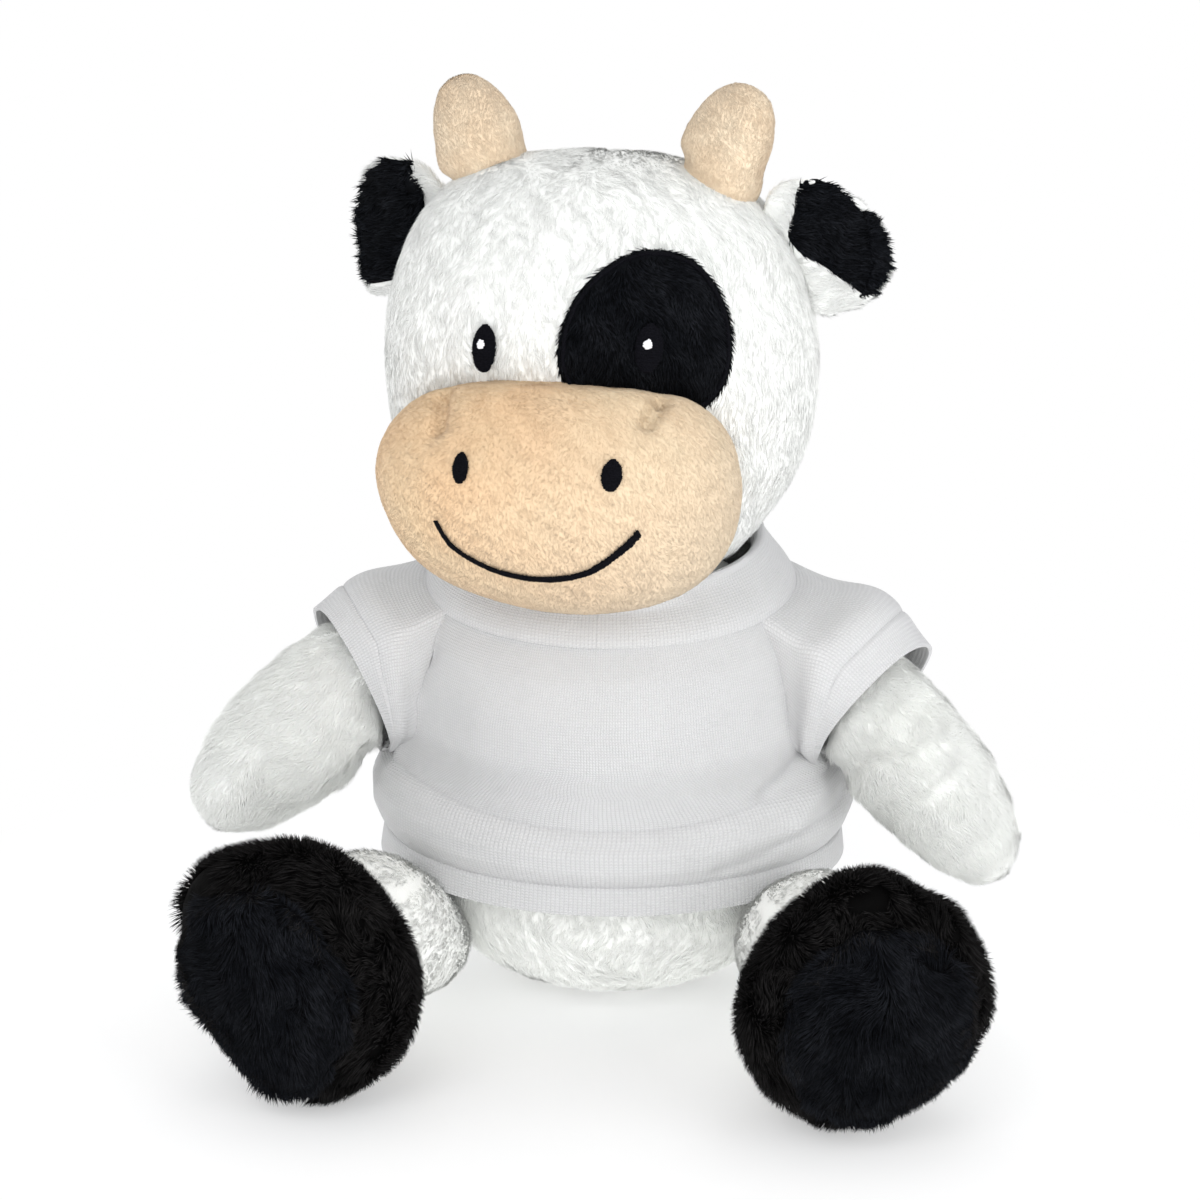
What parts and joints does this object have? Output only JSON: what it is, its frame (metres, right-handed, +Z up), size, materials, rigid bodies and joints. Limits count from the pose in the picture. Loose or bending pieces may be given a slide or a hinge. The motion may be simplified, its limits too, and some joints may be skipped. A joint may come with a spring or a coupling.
{
  "type": "plush cow",
  "caption": "Sitting plush cow with peach muzzle and horns, black feet, ears and eye patch, in a short-sleeved knit shirt; head, arms, legs and tail turn softly at their seams.",
  "frame": {"origin": "on the floor, under the middle of the toy's box", "axes": "+Z up, the cow faces -Y, +X is the cow's left"},
  "size_m": [0.1714, 0.1638, 0.1915],
  "materials": {
    "white_plush": "short white pile, matt",
    "black_plush": "black pile, longer on the feet, matt",
    "peach_plush": "short peach pile, matt",
    "stuffing": "loose polyester fibre",
    "shirt_knit": "fine white jersey knit, matt",
    "black_thread": "satin-stitched black thread, slight sheen",
    "white_thread": "satin-stitched white thread, slight sheen",
    "pellets": "small plastic pellets in a cloth pouch"
  },
  "bodies": {
    "torso": {"body_skin": "white_plush", "body_stuffing": "stuffing", "pellet_pouch": "pellets", "shirt_front": "shirt_knit", "shirt_back": "shirt_knit", "sleeve_right": "shirt_knit", "sleeve_left": "shirt_knit", "collar": "shirt_knit"},
    "head": {"head_skin": "white_plush", "head_stuffing": "stuffing", "muzzle_skin": "peach_plush", "muzzle_stuffing": "stuffing", "eye_patch": "black_plush", "eye_right": "black_thread", "eye_left": "black_thread", "eye_glint_right": "white_thread", "eye_glint_left": "white_thread", "nostril_right": "black_thread", "nostril_left": "black_thread", "smile": "black_thread", "horn_right": "peach_plush", "horn_left": "peach_plush", "ear_right": "white_plush", "ear_left": "white_plush", "ear_lining_right": "black_plush", "ear_lining_left": "black_plush"},
    "arm_right": {"arm_skin_right": "white_plush", "arm_stuffing_right": "stuffing"},
    "arm_left": {"arm_skin_left": "white_plush", "arm_stuffing_left": "stuffing"},
    "leg_right": {"leg_skin_right": "white_plush", "leg_stuffing_right": "stuffing", "foot_upper_right": "black_plush", "foot_sole_right": "black_plush", "foot_stuffing_right": "stuffing"},
    "leg_left": {"leg_skin_left": "white_plush", "leg_stuffing_left": "stuffing", "foot_upper_left": "black_plush", "foot_sole_left": "black_plush", "foot_stuffing_left": "stuffing"},
    "tail": {"tail": "white_plush", "tail_tuft": "black_plush"}
  },
  "joints": [
    {"name": "head_turn", "type": "hinge", "parent": "torso", "child": "head", "pos_m": [-0.00024, 0.01027, 0.0922], "axis": [0, 0, 1], "range_deg": [-20, 20], "stiffness_Nm_per_rad": 0.02},
    {"name": "arm_swing_right", "type": "hinge", "parent": "torso", "child": "arm_right", "pos_m": [-0.03924, 0.01427, 0.0735], "axis": [-1, 0, 0], "range_deg": [-10, 50], "stiffness_Nm_per_rad": 0.01, "deforming": ["sleeve_right"]},
    {"name": "arm_swing_left", "type": "hinge", "parent": "torso", "child": "arm_left", "pos_m": [0.04176, 0.01427, 0.0735], "axis": [-1, 0, 0], "range_deg": [-10, 50], "stiffness_Nm_per_rad": 0.01, "deforming": ["sleeve_left"]},
    {"name": "leg_splay_right", "type": "hinge", "parent": "torso", "child": "leg_right", "pos_m": [-0.03674, -0.00373, 0.014], "axis": [0, 0, -1], "range_deg": [-6, 15], "stiffness_Nm_per_rad": 0.01},
    {"name": "leg_splay_left", "type": "hinge", "parent": "torso", "child": "leg_left", "pos_m": [0.03926, -0.00373, 0.014], "axis": [0, 0, 1], "range_deg": [-6, 15], "stiffness_Nm_per_rad": 0.01},
    {"name": "tail_swing", "type": "hinge", "parent": "torso", "child": "tail", "pos_m": [0.00126, 0.05819, 0.0245], "axis": [0, 0, 1], "range_deg": [-30, 30], "stiffness_Nm_per_rad": 0.001}
  ]
}
